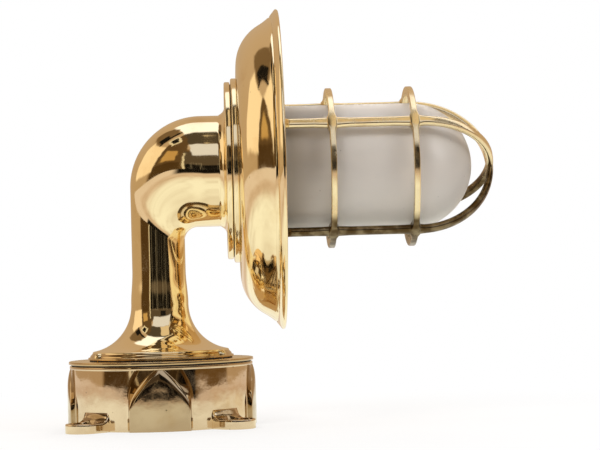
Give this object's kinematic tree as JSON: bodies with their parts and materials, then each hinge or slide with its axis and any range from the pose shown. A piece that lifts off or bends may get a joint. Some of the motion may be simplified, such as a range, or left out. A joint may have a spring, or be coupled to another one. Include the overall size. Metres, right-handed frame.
{
  "type": "nautical wall light",
  "caption": "Brass ship's wall light: round junction box with lugs, swan neck, dish shade, and a frosted glass globe in a guard that unscrews.",
  "frame": {"origin": "centre of the mounting face, the flat underside of the junction box", "axes": "+Z out of the mounting face along the junction box's axis; +X along the lamp's axis, from the neck towards the guard's tip; the cable gland faces +Y"},
  "size_m": [0.3071, 0.2276, 0.2933],
  "materials": {
    "cast_brass": "polished sand casting, soft waviness",
    "polished_brass": "mirror polished with fine scratches",
    "turned_brass": "turned and polished",
    "spun_brass": "spun and mirror polished",
    "guard_brass": "hand polished casting",
    "inner_brass": "dull machined",
    "rubber": "matt",
    "ceramic": "glazed",
    "frosted_glass": "satin, etched",
    "clear_glass": "clear",
    "cap_metal": "pressed, bright",
    "filament_wire": "fine wire",
    "lead_brown": "sleeved lead",
    "lead_blue": "sleeved lead"
  },
  "bodies": {
    "fixture": {"junction_box": "cast_brass", "box_gasket": "rubber", "box_lid": "turned_brass", "foot_gasket": "rubber", "neck": "polished_brass", "foot_screws": "turned_brass", "gland_body": "turned_brass", "gland_seal": "rubber", "gland_nut": "turned_brass", "terminal_block": "ceramic", "terminal_barrels": "inner_brass", "terminal_screws": "inner_brass", "block_screw": "inner_brass", "earth_screw": "inner_brass", "lead_live": "lead_brown", "lead_neutral": "lead_blue", "flange_gasket": "rubber", "lamp_body": "turned_brass", "shade": "spun_brass", "shade_clamp_ring": "turned_brass", "flange_screws": "turned_brass", "holder_bracket": "inner_brass", "bracket_screws": "inner_brass", "lampholder": "ceramic", "holder_screws": "inner_brass", "holder_shell": "inner_brass", "centre_contact": "inner_brass"},
    "globe": {"glass_globe": "frosted_glass", "globe_gasket": "rubber"},
    "guard": {"guard": "guard_brass"},
    "bulb": {"bulb_glass": "clear_glass", "bulb_filament": "filament_wire"},
    "bulb_cap": {"bulb_cap": "cap_metal"}
  },
  "joints": [
    {"name": "globe_travel", "type": "slide", "parent": "fixture", "child": "globe", "axis": [1, 0, 0], "range_m": [0, 0.012]},
    {"name": "guard_turn", "type": "hinge", "parent": "globe", "child": "guard", "pos_m": [0, 0, 0.1795], "axis": [1, 0, 0], "range_deg": [0, 1440]},
    {"name": "bulb_travel", "type": "slide", "parent": "fixture", "child": "bulb_cap", "axis": [1, 0, 0], "range_m": [0, 0.00726]},
    {"name": "bulb_turn", "type": "hinge", "parent": "bulb_cap", "child": "bulb", "pos_m": [0, 0, 0.1795], "axis": [1, 0, 0], "range_deg": [0, 720]}
  ],
  "couplings": [
    {"joint": "globe_travel", "follows": "guard_turn", "m_per_rad": 0.00047746},
    {"joint": "bulb_travel", "follows": "bulb_turn", "m_per_rad": 0.00057773}
  ]
}
